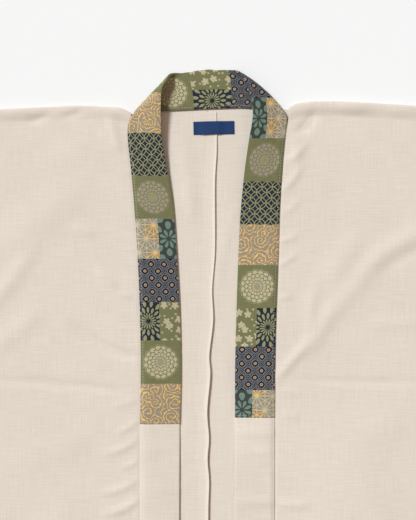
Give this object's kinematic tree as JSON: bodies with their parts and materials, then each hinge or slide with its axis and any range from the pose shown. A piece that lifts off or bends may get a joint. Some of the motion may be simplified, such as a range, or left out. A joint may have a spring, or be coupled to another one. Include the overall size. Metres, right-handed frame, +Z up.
{
  "type": "noragi jacket, laid flat",
  "caption": "Open-fronted short jacket with wide straight sleeves and a printed collar cover that rolls round the neck, laid flat on its back with the fronts a little apart.",
  "frame": {"origin": "on the surface the jacket lies on, under the middle of its box", "axes": "+X to the wearer's left, +Y from hem to collar, +Z up from the surface, out of the fronts"},
  "size_m": [1.38, 0.8078, 0.0214],
  "materials": {
    "cloth": "slubby natural cotton plain weave, unbleached sand, matt",
    "patchwork_print": "printed cotton, patchwork of navy, olive and taupe traditional motifs with gold, slight sheen",
    "label": "close woven navy satin label, bare"
  },
  "bodies": {
    "root": {"body_right": "cloth", "body_left": "cloth", "sleeve_right": "cloth", "sleeve_left": "cloth", "band_right": "cloth", "band_left": "cloth", "back_seam": "cloth", "collar_cover": "patchwork_print", "label": "label"}
  },
  "joints": []
}
